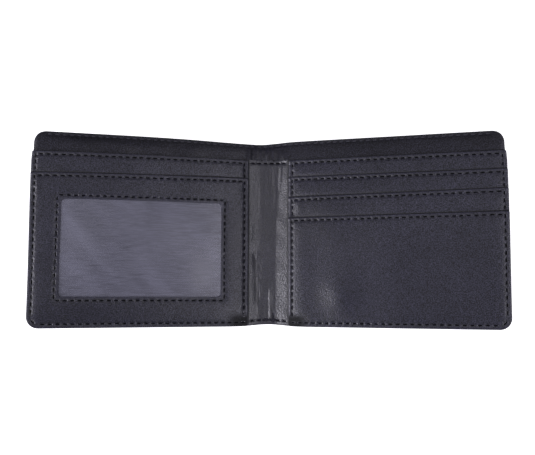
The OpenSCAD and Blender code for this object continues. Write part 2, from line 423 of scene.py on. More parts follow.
def rectangle(x_range, y_range, rim, step, seams_x=(), seams_y=(), corners=(0.8,) * 4, butt=False):
    """Grid of a rectangular sheet, inside its rim.

    corners are the radii at the inner bottom, outer bottom, outer top and inner top. With butt, the
    inner end is a plain cut with no rim.
    """
    x0, x1 = x_range[0] + (0 if butt else rim), x_range[1] - rim
    y0, y1 = y_range[0] + rim, y_range[1] - rim
    xs = lines(x0, x1, step, seams_x)
    ys = lines(y0, y1, step, seams_y)
    grid = np.stack(np.meshgrid(xs, ys, indexing="ij"), -1)
    flat = grid.reshape(-1, 2)
    ends = ((x0, y0, -1, -1), (x1, y0, 1, -1), (x1, y1, 1, 1), (x0, y1, -1, 1))
    for radius, (cx, cy, sx, sy) in zip(corners, ends):
        if butt and sx < 0:
            continue
        inner = max(radius - rim, 0.3)
        round_corner(flat, (cx - sx * inner, cy - sy * inner), sx, sy)
    return flat.reshape(grid.shape)


def on_circle(centre, radius, degrees):
    angle = math.radians(degrees)
    return np.array([centre[0] + radius * math.cos(angle), centre[1] + radius * math.sin(angle)])


def outline(low, high, radii, counts):
    """A closed counter-clockwise rounded rectangle.

    radii are those of the bottom right, top right, top left and bottom left corner; counts are the
    steps along each upright and each level side.
    """
    (x0, y0), (x1, y1) = low, high
    centres = [(x1 - radii[0], y0 + radii[0]), (x1 - radii[1], y1 - radii[1]),
               (x0 + radii[2], y1 - radii[2]), (x0 + radii[3], y0 + radii[3])]
    points = []
    for k, (centre, radius) in enumerate(zip(centres, radii)):
        points += [on_circle(centre, radius, turn) for turn in np.linspace(-90, 0, 9) + 90 * k]
        following = (k + 1) % 4
        start = points[-1]
        end = on_circle(centres[following], radii[following], 90 * k)
        steps = counts[k % 2]
        points += [start + (end - start) * i / steps for i in range(1, steps)]
    return np.array(points)


def rings(offsets_in, inner, offsets_out, outer, radii_in, radii_out, counts):
    """Grid of rings from a window's outline out to a panel's outline."""
    inner_rows = [outline(inner[0] - o, inner[1] + o, [r + o for r in radii_in], counts)
                  for o in offsets_in]
    outer_rows = [outline(outer[0] + o, outer[1] - o, [max(r - o, 0.3) for r in radii_out], counts)
                  for o in offsets_out]
    first, last = inner_rows[-1], outer_rows[0]
    between = [first + (last - first) * t for t in (0.15, 0.3, 0.5, 0.7, 0.85)]
    return np.array(inner_rows + between + outer_rows)


def frame_path(points, width, rim, step):
    """Grid of a strip that runs along the outside of a path of corners, mitred at each corner.

    points are (x, y, corner radius); the strip lies on the left of the path.
    """
    insets = np.linspace(width - rim, rim, 5)
    return np.array([inset_path(points, inset, step) for inset in insets])


def inset_path(points, inset, step):
    """The path moved to its left by inset, with round corners, as evenly counted points."""
    corners = np.array([p[:2] for p in points], float)
    way = np.diff(corners, axis=0)
    way /= np.linalg.norm(way, axis=1)[:, None]
    left = np.column_stack([-way[:, 1], way[:, 0]])
    moved = corners + np.vstack([left[:1], left[:-1] + left[1:], left[-1:]]) * inset
    path = []
    start = moved[0]
    for k in range(len(way)):
        last = k == len(way) - 1
        radius = 0 if last else max(points[k + 1][2] - inset, 0.2)
        end = moved[k + 1] - way[k] * radius
        steps = max(2, round(np.linalg.norm(corners[k + 1] - corners[k]) / step))
        path += [start + (end - start) * i / steps for i in range(steps + 1)]
        if last:
            break
        centre = end + left[k] * radius
        for turn in np.linspace(0, math.pi / 2, 8)[1:-1]:
            path.append(centre - left[k] * radius * math.cos(turn) + way[k] * radius * math.sin(turn))
        start = moved[k + 1] + way[k + 1] * radius
    return np.array(path)


def outward(loop):
    """Unit normals of a closed loop, on its right as it runs."""
    along = np.roll(loop, -1, 0) - np.roll(loop, 1, 0)
    normal = np.column_stack([along[:, 1], -along[:, 0]])
    return normal / np.maximum(np.linalg.norm(normal, axis=1), 1e-9)[:, None]


def border_loops(nx, ny, wrap):
    """Index loops round a grid, outside counter-clockwise, and a hole clockwise."""
    if wrap:
        return [(nx - 1) * ny + np.arange(ny), np.arange(ny)[::-1]]
    loop = [i * ny for i in range(nx)] + [(nx - 1) * ny + j for j in range(1, ny)]
    loop += [i * ny + ny - 1 for i in range(nx - 2, -1, -1)] + list(range(ny - 2, 0, -1))
    return [np.array(loop)]


def border_distance(grid, butt, wrap):
    """How far each point of a grid lies inside its border; the plain cut at X = 0 doesn't count."""
    flat = grid.reshape(-1, 2)
    low, high = flat.min(0), flat.max(0)
    inside = np.minimum(high - flat, flat - low)
    if butt:
        inside[:, 0] = high[0] - flat[:, 0]
    distance = inside.min(1)
    if wrap:
        hole_low, hole_high = grid[0].min(0), grid[0].max(0)
        outside = np.maximum(np.maximum(hole_low - flat, flat - hole_high), 0)
        distance = np.minimum(distance, np.hypot(*outside.T))
    return distance


def cut_normals(loop, normal):
    """Along the plain cut at X = 0 a rim would point sideways; there it only points along the cut."""
    at_cut = loop[:, 0] < 1e-6
    normal[at_cut, 0] = 0
    normal[at_cut, 1] = np.sign(np.round(normal[at_cut, 1], 3))
    inside = at_cut & (loop[:, 1] > loop[:, 1].min() + 1e-6) & (loop[:, 1] < loop[:, 1].max() - 1e-6)
    normal[inside] = 0
    return normal


def grid_faces(nx, ny, wrap):
    """A grid's faces; a wrapped grid is closed round its rings."""
    faces = []
    for i in range(nx - 1):
        for j in range(ny if wrap else ny - 1):
            k = (j + 1) % ny
            faces.append((i * ny + j, (i + 1) * ny + j, (i + 1) * ny + k, i * ny + k))
    return faces


def shell(name, side, grid, z, thickness, rim=None, top=level, under=level, wrap=False, butt=False,
          skew=None, seams=None, seam_face=1, shade=level):
    """A closed sheet over a grid: top, rounded rim and underside. Its grid is for the right side.

    It gets three point attributes, each from 0 to 1: edge wear with a painted highlight along the
    top's border and up the rim; dent under a stitch, which the leather paints as shade; and shade,
    painted shade in a crevice and down the rim. The rim is half as wide as the sheet is thick, unless
    it is given. seams are the stitches that dent it, on its top, or with seam_face -1 on its underside.
    """
    rim = thickness / 2 if rim is None else rim
    nx, ny = grid.shape[:2]
    flat = grid.reshape(-1, 2)
    signed = flat * [side, 1]
    top_z = z + thickness + top(signed) - BEVEL * hump(border_distance(grid, butt, wrap), BEVEL_REACH)
    under_z = np.minimum(z + under(signed), top_z - THINNEST)
    points = [np.column_stack([flat, top_z])]
    # Painted highlight and edge wear: the top is painted paler along its border.
    wear_and_highlight = [0.6 * hump(border_distance(grid, butt, wrap), 0.45)]
    dark = [shade(signed)]
    faces = grid_faces(nx, ny, wrap)
    tops = len(faces)
    below = np.full(nx * ny, -1)
    count = len(flat)
    for loop in border_loops(nx, ny, wrap):
        normal = outward(flat[loop])
        if butt:
            normal = cut_normals(flat[loop], normal)
        previous = loop
        for step in range(1, RIM_STEPS + 1):
            angle = math.pi * (0.5 - step / RIM_STEPS)
            share = (1 + math.sin(angle)) / 2
            height = share * top_z[loop] + (1 - share) * under_z[loop]
            points.append(np.column_stack([flat[loop] + normal * rim * math.cos(angle), height]))
            # Up the rim the colour is painted paler, edge wear with a painted highlight; down it darker, painted
            # shade.
            wear_and_highlight.append(np.full(len(loop), share))
            dark.append(np.full(len(loop), 1 - share ** 2))
            ring = count + np.arange(len(loop))
            count += len(loop)
            faces += zip(ring, np.roll(ring, -1), np.roll(previous, -1), previous)
            previous = ring
        below[loop] = previous
    inner = np.flatnonzero(below < 0)
    below[inner] = count + np.arange(len(inner))
    points.append(np.column_stack([flat[inner], under_z[inner]]))
    wear_and_highlight.append(np.zeros(len(inner)))
    dark.append(np.zeros(len(inner)))
    faces += [tuple(below[list(reversed(face))]) for face in faces[:tops]]
    points = np.vstack(points)
    points[:, 0] *= side
    seams = stitches_at(side, z + thickness) if seams is None else seams
    dent = seam_terms(points[:, :2], seams)[1]
    other_face = (points[:, 2] - z - thickness / 2) * seam_face < 0
    dent[other_face] = 0
    if skew is not None:
        points = skew(points)
    piece = mesh_piece(name, place(points), faces, flip=side == LEFT)
    add_attribute(piece, "wear_and_highlight", np.concatenate(wear_and_highlight))
    add_attribute(piece, "dent", dent)
    add_attribute(piece, "shade", np.concatenate(dark))
    if butt:
        mark_cut(piece)
    return piece


def in_scene(name, data):
    """A new object, linked to the scene."""
    thing = bpy.data.objects.new(name, data)
    bpy.context.scene.collection.objects.link(thing)
    return thing


def mesh_piece(name, points, faces, flip=False):
    if flip:
        faces = [tuple(reversed(face)) for face in faces]
    mesh = bpy.data.meshes.new(name)
    mesh.from_pydata(points.tolist(), [], [tuple(int(v) for v in face) for face in faces])
    mesh.shade_smooth()
    return in_scene(name, mesh)


def add_attribute(piece, name, values):
    attribute = piece.data.attributes.new(name, "FLOAT", "POINT")
    attribute.data.foreach_set("value", np.asarray(values, np.float32))


def mark_cut(piece):
    """Marks the edges round the plain cut at X = 0 as sharp, so that it doesn't shade the top."""
    mesh = piece.data
    at_cut = [abs(v.co.x) < 1e-7 for v in mesh.vertices]
    flat_face = [all(at_cut[v] for v in face.vertices) for face in mesh.polygons]
    cut_edges = set()
    for face, is_cut in zip(mesh.polygons, flat_face):
        if is_cut:
            cut_edges |= set(face.edge_keys)
    marks = mesh.attributes.new("sharp_edge", "BOOLEAN", "EDGE")
    marks.data.foreach_set("value", [edge.key in cut_edges for edge in mesh.edges])


THREAD_SIDES = 8
THREAD_RINGS = 9


def stitch_points(x, y, dx, dy, bed, facing):
    """A stitch's points: a tip, rings round its line, and a tip. facing is 1 upwards, -1 downwards."""
    t = np.linspace(-1, 1, THREAD_RINGS)
    line = np.column_stack([x + dx * t * STITCH / 2, y + dy * t * STITCH / 2,
                            bed + facing * (THREAD * 0.35 - 0.42 * t ** 4)])
    radius = THREAD * np.sqrt(np.clip(1 - np.abs(t) ** 5, 0, 1))
    turn = 2 * math.pi * np.arange(THREAD_SIDES) / THREAD_SIDES
    points = [line[:1]]
    for middle, size in zip(line[1:-1], radius[1:-1]):
        across = size * np.cos(turn)
        points.append(middle + np.column_stack([-dy * across, dx * across, 0.85 * size * np.sin(turn)]))
    return np.vstack([*points, line[-1:]])


def stitch_faces(first, last):
    """The faces of the stitch whose tips are the points first and last."""
    faces = []
    for s in range(THREAD_SIDES):
        n = (s + 1) % THREAD_SIDES
        faces.append((first, first + 1 + n, first + 1 + s))
        for a in range(first + 1, last - THREAD_SIDES, THREAD_SIDES):
            faces.append((a + s, a + n, a + THREAD_SIDES + n, a + THREAD_SIDES + s))
        faces.append((last - THREAD_SIDES + s, last - THREAD_SIDES + n, last))
    return faces


def thread_mesh(name, rows, surfaces):
    """Every stitch of a seam, each a short rounded length of thread that dives in at both ends."""
    points, faces = [], []
    first = 0
    for x, y, height, dx, dy in rows:
        relief, skew, nominal = surfaces[round(height, 1)]
        bed = nominal + relief(np.array([[x, y]]))[0]
        stitch = stitch_points(x, y, dx, dy, bed, -1 if height < 0 else 1)
        points.append(skew(stitch) if skew else stitch)
        faces += stitch_faces(first, first + len(stitch) - 1)
        first += len(stitch)
    return mesh_piece(name, place(np.vstack(points)), faces)


# ------------------------------------------------------------------ materials


def feed(tree, node, inputs):
    """Sets a node's inputs to values, or links them to other nodes' outputs."""
    for name, value in inputs.items():
        if isinstance(value, bpy.types.NodeSocket):
            tree.links.new(value, node.inputs[name])
        else:
            node.inputs[name].default_value = value


def put(tree, kind, inputs=None, **settings):
    """Adds a shader node, feeds it, and returns its outputs."""
    node = tree.nodes.new("ShaderNode" + kind)
    for name, value in settings.items():
        setattr(node, name, value)
    feed(tree, node, inputs or {})
    return node.outputs


def blank(name):
    """A new material, its node tree and its shader node."""
    material = bpy.data.materials.new(name)
    material.use_nodes = True
    tree = material.node_tree
    return material, tree, tree.nodes["Principled BSDF"]


def here(tree):
    """Object coordinates, in metres."""
    return put(tree, "TexCoord")["Object"]


def vector_node(tree, operation, first, second):
    return put(tree, "VectorMath", {0: first, 1: second}, operation=operation)[0]


def scaled(tree, scale):
    """Object coordinates stretched by a scale for each axis, in cycles to a metre."""
    return vector_node(tree, "MULTIPLY", here(tree), scale)


def math_node(tree, operation, *values):
    return put(tree, "Math", dict(enumerate(values)), operation=operation)[0]


def span(tree, value, low, high, to_low, to_high):
    """value mapped from one range to another, and held inside it."""
    ends = {"Value": value, "From Min": low, "From Max": high, "To Min": to_low, "To Max": to_high}
    return put(tree, "MapRange", ends)["Result"]


def mixed(tree, factor, first, second, blend="MIX"):
    return put(tree, "Mix", {0: factor, 6: first, 7: second}, data_type="RGBA", blend_type=blend)[2]


def point_value(tree, name):
    return put(tree, "Attribute", attribute_name=name)["Fac"]


def times(colour, factor):
    return (*[c * factor for c in colour], 1)


def noise(tree, vector, scale, detail):
    return put(tree, "TexNoise", {"Vector": vector, "Scale": scale, "Detail": detail})["Fac"]


def brightened(tree, colour, factor):
    """A colour multiplied by a grey value from the node tree."""
    grey = put(tree, "CombineColor", {0: factor, 1: factor, 2: factor})[0]
    return mixed(tree, 1.0, colour, grey, "MULTIPLY")


def bumped(tree, shader, height, strength, distance):
    """Gives the shader fine relief from a height, distance being its depth in metres."""
    relief = {"Height": height, "Strength": strength, "Distance": distance}
    feed(tree, shader, {"Normal": put(tree, "Bump", relief)["Normal"]})


def leather(name, colour, grain=1900, gloss=0.34, shine=0.3, relief=1.0):
    """Smooth grained imitation leather: soft pebbles with a painted glint on their tops and painted
    shade between them, worn edges with a painted highlight, and painted shade in dark hollows.
    """
    material, tree, shader = blank(name)
    where = here(tree)
    wander = put(tree, "TexNoise", {"Vector": where, "Scale": grain * 0.5, "Detail": 1})["Color"]
    moved = vector_node(tree, "MULTIPLY", wander, (0.0003, 0.0003, 0.0003))
    warped = vector_node(tree, "ADD", where, moved)
    soft_cells = {"Vector": warped, "Scale": grain, "Smoothness": 0.5}
    cells = put(tree, "TexVoronoi", soft_cells, feature="SMOOTH_F1")["Distance"]
    fine = noise(tree, where, grain * 2.2, 2)
    tops = noise(tree, where, grain * 1.15, 1)
    broad = noise(tree, where, 28, 2)
    height = math_node(tree, "MULTIPLY_ADD", cells, -1.2, math_node(tree, "MULTIPLY", fine, 0.4))
    bumped(tree, shader, height, 0.65 * relief, 0.0001)
    tone = mixed(tree, span(tree, broad, 0.32, 0.68, 0, 1), times(colour, 0.78), times(colour, 1.2))
    # Painted light on the grain: pebble tops are painted paler as glints, the furrows between them darker as
    # shade.
    painted_glint = span(tree, tops, 0.36, 0.68, 0.1, 2.8)
    between = span(tree, cells, 0.1, 0.6, 1.15, 0.7)
    grain_with_painted_light = brightened(tree, tone, math_node(tree, "MULTIPLY", painted_glint, between))
    # Edge wear with a painted highlight: rims and the top's border are painted paler, in fine patches.
    rub_and_highlight = span(tree, fine, 0.35, 0.65, 0.35, 0.85)
    edge_wear_and_highlight = math_node(tree, "MULTIPLY", point_value(tree, "wear_and_highlight"), rub_and_highlight)
    edged = mixed(tree, edge_wear_and_highlight, grain_with_painted_light, times(colour, 2.6))
    # Painted shade: the colour darkens to near black in crevices, down rims, at shaded corners and in stitch
    # dents.
    dent_shade = math_node(tree, "MULTIPLY", point_value(tree, "dent"), 0.8)
    painted_shade = math_node(tree, "MAXIMUM", point_value(tree, "shade"), dent_shade)
    rough = span(tree, tops, 0.35, 0.65, gloss + 0.06, gloss - 0.06)
    feed(tree, shader, {"Base Color": mixed(tree, painted_shade, edged, times(colour, 0.04)),
                        "Roughness": math_node(tree, "MULTIPLY_ADD", painted_shade, 0.5, rough),
                        "Specular IOR Level": shine})
    return material


def cloth(name, colour, thread=0.00042, streaks=0.0):
    """Plain weave: warp over weft in turn, with slubs along the weft and a soft sheen."""
    material, tree, shader = blank(name)
    where = here(tree)
    turns = math.pi / thread
    axes = put(tree, "SeparateXYZ", {0: where})
    warps = math_node(tree, "SINE", math_node(tree, "MULTIPLY", axes["X"], turns))
    wefts = math_node(tree, "SINE", math_node(tree, "MULTIPLY", axes["Y"], turns))
    weave = math_node(tree, "MULTIPLY", warps, wefts)
    slub = noise(tree, scaled(tree, (140, 1700, 140)), 1, 2)
    broad = noise(tree, where, 40, 3)
    bumped(tree, shader, math_node(tree, "MULTIPLY_ADD", weave, 0.5, slub), 0.5, 0.00008)
    tone = mixed(tree, span(tree, broad, 0.35, 0.65, 0, 1), times(colour, 0.88), times(colour, 1.1))
    woven = mixed(tree, span(tree, weave, -1, 1, 0.0, 0.35), tone, times(colour, 0.55))
    streak = span(tree, slub, 0.42, 0.62, 1 - streaks, 1 + 0.6 * streaks)
    feed(tree, shader, {"Base Color": brightened(tree, woven, streak),
                        "Roughness": span(tree, slub, 0.3, 0.7, 0.7, 0.9),
                        "Sheen Weight": 0.15})
    return material


HAZE = (0.168, 0.168, 0.217)


def window_plastic(name):
    """Clear soft plastic gone slightly cloudy, with faint drawn lines from the calender rolls, and light
    and dark diagonal bands painted into its colour as the sheen of its buckles.
    """
    material, tree, shader = blank(name)
    drawn = noise(tree, scaled(tree, (130, 1500, 130)), 1, 2)
    cloud = noise(tree, scaled(tree, (30, 30, 30)), 1, 3)
    bumped(tree, shader, drawn, 0.06, 0.00006)
    slanted = put(tree, "VectorRotate", {"Vector": here(tree), "Angle": math.radians(52)})[0]
    along = vector_node(tree, "MULTIPLY", slanted, (22, 120, 22))
    # Painted sheen: diagonal light and dark bands in the colour, standing in for light on the buckled film.
    painted_buckle_sheen = noise(tree, along, 1, 1)
    lines_in = mixed(tree, span(tree, drawn, 0.3, 0.5, 0, 1), times(HAZE, 0.4), times(HAZE, 1.05))
    bands = mixed(tree, span(tree, painted_buckle_sheen, 0.35, 0.7, 0, 1), times(HAZE, 0.65), times(HAZE, 1.35))
    feed(tree, shader, {"Base Color": mixed(tree, 0.5, lines_in, bands),
                        "Alpha": span(tree, cloud, 0.35, 0.7, 0.35, 0.5),
                        "Roughness": span(tree, cloud, 0.3, 0.7, 0.28, 0.38),
                        "Specular IOR Level": 0.9})
    return material


def sewing_thread(name, colour):
    """Twisted polyester thread: fine slanted plies, a little fluff in its tone, and paler where it gets a painted
    highlight.
    """
    material, tree, shader = blank(name)
    where = here(tree)
    twist = {"Vector": where, "Scale": 700, "Distortion": 1.0}
    ply = put(tree, "TexWave", twist, bands_direction="DIAGONAL")["Fac"]
    fluff = noise(tree, where, 4000, 3)
    bumped(tree, shader, math_node(tree, "MULTIPLY_ADD", fluff, 0.4, ply), 0.6, 0.00008)
    tone = mixed(tree, ply, times(colour, 0.6), times(colour, 1.5))
    # Painted highlight: the colour turns far paler with the thread's highlight attribute.
    feed(tree, shader, {"Base Color": mixed(tree, point_value(tree, "wear_and_highlight"), tone, times(colour, 36)),
                        "Roughness": span(tree, fluff, 0.3, 0.7, 0.55, 0.8),
                        "Specular IOR Level": 0.06})
    return material


def card(name, colour):
    """Grey board: short pressed fibres."""
    material, tree, shader = blank(name)
    fibre = noise(tree, scaled(tree, (400, 1500, 400)), 1, 5)
    bumped(tree, shader, fibre, 0.3, 0.00005)
    tone = mixed(tree, span(tree, fibre, 0.35, 0.65, 0, 1), times(colour, 0.75), times(colour, 1.2))
    feed(tree, shader, {"Base Color": tone, "Roughness": span(tree, fibre, 0.3, 0.7, 0.8, 0.95)})
    return material


INK = (0.0183, 0.0179, 0.0278)
LOOKS = {
    # The cover's leather is darker than the pockets', painted shade for the recessed facing; the cover's outside
    # and hems share that colour.
    "cover_leather": leather("cover_leather", (0.013, 0.0125, 0.0185), shine=0.32),
    "pocket_leather": leather("pocket_leather", INK, shine=0.5),
    "strip_leather": leather("strip_leather", (0.0168, 0.0164, 0.0232), gloss=0.33, shine=0.85, relief=1.4),
    "note_lining": cloth("note_lining", (0.016, 0.016, 0.02)),
    "pocket_fabric": cloth("pocket_fabric", (0.262, 0.259, 0.332), streaks=0.35),
    "window_film": window_plastic("window_film"),
    "thread": sewing_thread("thread", (0.003, 0.003, 0.0036)),
    "stiffener_card": card("stiffener_card", (0.2, 0.18, 0.15)),
}


# ------------------------------------------------------------------ pieces

FOLD_START = (BEND_FROM * MM, 0, FOLD_Z * MM)
FOLD_END = (BEND_TO * MM, 0, FOLD_Z * MM)
SURFACES = {LEFT: {}, RIGHT: {}}
STEP_FROM = BEND_TO - 1.5
OUTER_CORNERS = (0.8, CORNER, 0.8, 0.8)


def nodes_across(kind, side):
    """The CAD nodes of a sheet that crosses the spine."""
    return [f"{kind}_{WORD[side]}", f"{kind}_spine"]


def finish(piece, slot, nodes, side, folds=False):
    """Gives a piece its slot's material, hides its CAD nodes, and ties it to its body; a piece that
    crosses a fold is only baked in place.
    """
    piece.data.materials.append(LOOKS[slot])
    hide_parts(*nodes)
    body = WORD[side] + "_panel"
    if folds:
        start, end = (Vector(p) * Vector((side, 1, 1)) for p in (FOLD_START, FOLD_END))
        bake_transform(piece)
        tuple(start)
        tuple(end)
    else:
        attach(piece, body)


def extent(node):
    """(x range, y range, lower face, thickness) of a node."""
    low, high = flat_box(node)
    return (low[0], high[0]), (low[1], high[1]), low[2], high[2] - low[2]


def tilted(edge, low, high):
    """Shifts a sheet's upper part so that its top edge, at high, runs along a slanted edge."""
    def skew(points):
        moved = points.copy()
        moved[:, 1] += (edge(points[:, 0]) - high) * smoothstep(points[:, 1], low, high)
        return moved
    return skew


EDGE_Y = spine_row_y("edge")
MOUTH_Y = spine_row_y("facing")
DIVIDER_Y = spine_row_y("divider")
EDGE_X = np.abs(STITCHES[RIGHT]["edge_stitches_right"][:, 0]).max()
SEAM_X = STITCHES[RIGHT]["seam_stitches_right"][0][0]


def cover(side):
    """The outer leather, turned round the stiffener, sewn on three sides."""
    x, y, z, thickness = extent("cover_" + WORD[side])
    outside = stitches_at(side, OUTSIDE)
    soft = sewn(outside, crown=0)

    def under(xy):
        return np.maximum(-soft(xy) + 0.5 * waves(3, 0.05, 30)(xy), 0)

    grid = rectangle((0, x[1]), y, thickness / 2, 0.8, (EDGE_X,), (EDGE_Y, MOUTH_Y),
                     (0.8, CORNER, CORNER, 0.8), butt=True)
    piece = shell("cover_skin_" + WORD[side], side, grid, z, thickness, under=under,
                  butt=True, seams=outside, seam_face=-1)
    SURFACES[side][OUTSIDE] = (under, None, 0)
    finish(piece, "cover_leather", nodes_across("cover", side), side, folds=True)


def facing(side):
    """The strip turned in at the mouth of the note compartment, creased at the spine."""
    crevice = shadow_of(slant(DIVIDER_TOP))

    # Painted shade: in the crevice under the divider's edge, on the rolled top edge, and over the upper half where
    # it turns away from the lights, less near the spine.
    def shade(xy):
        rolled = 0.75 * smoothstep(xy[:, 1], TOP - 1.1, TOP - 0.6)
        away = 0.4 * smoothstep(xy[:, 1], DIVIDER_TOP + 3, TOP - 1) * smoothstep(np.abs(xy[:, 0]), 7, 14)
        return np.maximum(crevice(xy), np.maximum(rolled, away))

    x, y, z, thickness = extent("facing_" + WORD[side])
    relief = together(
        sewn(stitches_at(side, z + thickness), crown=0.2, reach=2.5),
        creases((-9, 34, 46, 0.7, 1.2), (-6.2, 34, 47, 0.85, 1.2), (-3.2, 34, 46, 0.85, 1.1),
                (-0.4, 34, 45, 0.7, 1.1), (2.6, 34, 45, 0.5, 1.2), (7, 35, 43, 0.25, 1.4)),
        waves(11, 0.08, 18))
    grid = rectangle((0, x[1] - 0.35), (y[0], y[1] - 0.35), thickness / 2, FINE, (), (MOUTH_Y,),
                     (0.8, 0.8, CORNER, 0.8), butt=True)
    piece = shell("facing_skin_" + WORD[side], side, grid, z, thickness, top=relief, butt=True,
                  shade=shade)
    SURFACES[side][FACING_TOP] = (relief, None, z + thickness)
    finish(piece, "cover_leather", nodes_across("facing", side), side, folds=True)


def stepped(kind, side):
    """How a sheet steps down beside the stiffener, from its side's node to its spine's node."""
    drop = extent(f"{kind}_{WORD[side]}")[2] - extent(kind + "_spine")[2]

    def step_down(xy):
        return -drop * (1 - smoothstep(np.abs(xy[:, 0]), STEP_FROM, SEAM))
    return step_down


def flat_size(x, y):
    """(width, length) in metres of a sheet between two ranges in millimetres."""
    return (x[1] - x[0]) * MM, (y[1] - y[0]) * MM


def lining(kind, side, relief, seams_x):
    """Half of a lining that crosses the spine, with closer grid lines at seams_x."""
    x, y, z, thickness = extent(f"{kind}_{WORD[side]}")
    x = (0, x[1])
    grid = rectangle(x, y, thickness / 2, COARSE, seams_x, (), OUTER_CORNERS, butt=True)
    piece = shell(f"{kind}_cloth_{WORD[side]}", side, grid, z, thickness, top=relief, under=relief,
                  butt=True)
    finish(piece, "note_lining", nodes_across(kind, side), side, folds=True)
    flat_size(x, y)


def note_lining(side):
    """The lining of the note compartment's outer wall, lower where it has no stiffener below it."""
    lining("note_lining", side, stepped("note_lining", side), (SEAM - 1,))


def cover_hem(side):
    """The cover's leather turned in along the bottom and the end."""
    x, y, z, thickness = extent("cover_hem_" + WORD[side])
    spine_low, spine_high = flat_box("cover_hem_spine")
    path = [(0, y[0], 0), (x[1], y[0], CORNER), (x[1], y[1] - thickness / 2, 0)]
    grid = frame_path(path, spine_high[1] - spine_low[1], thickness / 2, 1.2)
    piece = shell("cover_hem_skin_" + WORD[side], side, grid, z, thickness,
                  under=stepped("cover_hem", side), butt=True)
    finish(piece, "cover_leather", nodes_across("cover_hem", side), side, folds=True)


STRIP_SAG = 0.72
STRIP_FOOT = 3.4
LEFT_FOOT = 2
FLANK_END = SEAM - 0.5
SAG_BENDS = (2.4, 5)
STRIP_STEP = 0.4


def soft_ramp(value, softness):
    """0 below zero and value above it, with a rounded corner."""
    return softness * np.logaddexp(0, value / softness)


def bend_height(x):
    """How far the fold lifts the panel side at rest, at each distance from the spine's middle."""
    return smoothstep(x, BEND_FROM, BEND_TO) * math.sin(REST_ANGLE) * (x - FOLD_X)


def strip_sag(xy):
    """The strip sinks between the panels: at rest its right flank rises straight, the left one softly."""
    x, y = xy.T
    depth = STRIP_SAG * (1 - 0.45 * smoothstep(y, 12, DIVIDER_TOP) - 0.15 * smoothstep(-y, 30, -BOTTOM))
    foot = STRIP_FOOT + 2.6 * smoothstep(y, -8, 30)
    rise = soft_ramp(x - foot, 0.35) * (depth + bend_height(FLANK_END)) / (FLANK_END - foot)
    right = np.minimum(rise - bend_height(np.maximum(x, foot)) - depth, 0) * (x < FLANK_END)
    climb = soft_ramp(-x - LEFT_FOOT, 1.5) - soft_ramp(-x - FLANK_END, 0.3)
    left = depth * (np.minimum(climb / (FLANK_END - LEFT_FOOT), 1) - 1)
    return np.where(x > 0, right, left)


def divider_lining(side):
    """The lining of the note compartment's inner wall, which sags with the strip in front of it."""
    lining("divider_lining", side, strip_sag, (SEAM - 1, *SAG_BENDS))


def spine_strip(side):
    """The strip that joins the two sets of pockets, tucked under both and creased by folding."""
    x, y, z, thickness = extent("spine_strip_" + WORD[side])
    relief = together(
        strip_sag,
        sewn(stitches_at(side, z + thickness), crown=0.05, reach=2),
        creases((-5.9, -38, -8, -0.36, 1.5), (-3.7, -35, -10, 0.16, 0.7), (-9, -30, 6, 0.14, 1.2),
                (0.6, -47, -26, 0.32, 0.6), (1.9, -47, -31, -0.18, 0.6), (-6, 6, 34, 0.14, 0.8),
                (2, 12, 35, 0.16, 0.6), (5.8, 20, 36, 0.2, 0.6), (-2.4, -47, -32, 0.12, 0.9)),
        waves(21, 0.06, 9))

    def skew(points):
        moved = points.copy()
        shown = 1 - smoothstep(np.abs(points[:, 0]), SEAM - 0.5, SEAM + 1.5)
        moved[:, 1] += shown * (0.6 * smoothstep(points[:, 1], 28, DIVIDER_TOP)
                                + 0.4 * smoothstep(-points[:, 1], 38, -BOTTOM))
        return moved

    grid = rectangle((0, x[1]), y, thickness / 2, STRIP_STEP, (SEAM - 0.6,), (DIVIDER_Y, EDGE_Y), butt=True)
    # The strip is painted with shade where it runs in under the panels' inner edges.
    piece = shell("spine_strip_skin_" + WORD[side], side, grid, z, thickness,
                  top=relief, under=strip_sag, butt=True, skew=skew,
                  shade=lambda xy: smoothstep(np.abs(xy[:, 0]), SEAM - 0.9, SEAM - 0.3))
    SURFACES[side][STRIP_TOP] = (relief, skew, z + thickness)
    finish(piece, "strip_leather", ["spine_strip_" + WORD[side], "spine_strip"], side, folds=True)


def pocket_back(side):
    """The fabric behind the pockets, which shows through the window."""
    x, y, z, thickness = extent("pocket_back_" + WORD[side])
    relief = waves(31, 0.04, 20)
    grid = rectangle(x, y, thickness / 2, COARSE, corners=OUTER_CORNERS)
    piece = shell("pocket_back_cloth_" + WORD[side], side, grid, z, thickness,
                  top=lambda xy: relief(xy) - 0.05)
    finish(piece, "pocket_fabric", ["pocket_back_" + WORD[side]], side)
    flat_size(x, y)


def pocket(node, side, edge, next_edge=None, seed=0, corners=(0.6,) * 4, extra=level, crown=0.15):
    """A leather pocket: turned top edge, sewn at its ends, and running on behind the next pocket."""
    x, y, z, thickness = extent(node)
    height = round(z + thickness, 1)
    rows = stitches_at(side, height)
    rows = rows[np.abs(rows[:, 0]) > SEAM]
    soft = together(sewn(rows, crown=crown), mouth(y[1]), waves(seed, 0.15, 32), extra)
    relief = behind(next_edge, soft) if next_edge else soft
    skew = tilted(edge, y[1] - 9, y[1])
    seams_y = sorted({round(row[1], 2) for row in rows if abs(row[3]) > 0.9})
    grid = rectangle(x, y, thickness / 2, FINE, (SEAM_X, EDGE_X), seams_y, corners)
    piece = shell(node + "_skin", side, grid, z, thickness, top=relief, skew=skew,
                  shade=shadow_of(next_edge) if next_edge else corner_shadow)
    SURFACES[side][height] = (relief, skew, z + thickness)
    finish(piece, "pocket_leather", [node], side)


def pocket_lining(node, side):
    """The thin fabric that carries a card pocket down inside the stack."""
    x, y, z, thickness = extent(node)
    grid = rectangle(x, y, thickness / 2, COARSE, corners=(0.5,) * 4)
    piece = shell(node + "_cloth", side, grid, z, thickness)
    finish(piece, "pocket_fabric", [node], side)
    flat_size(x, y)


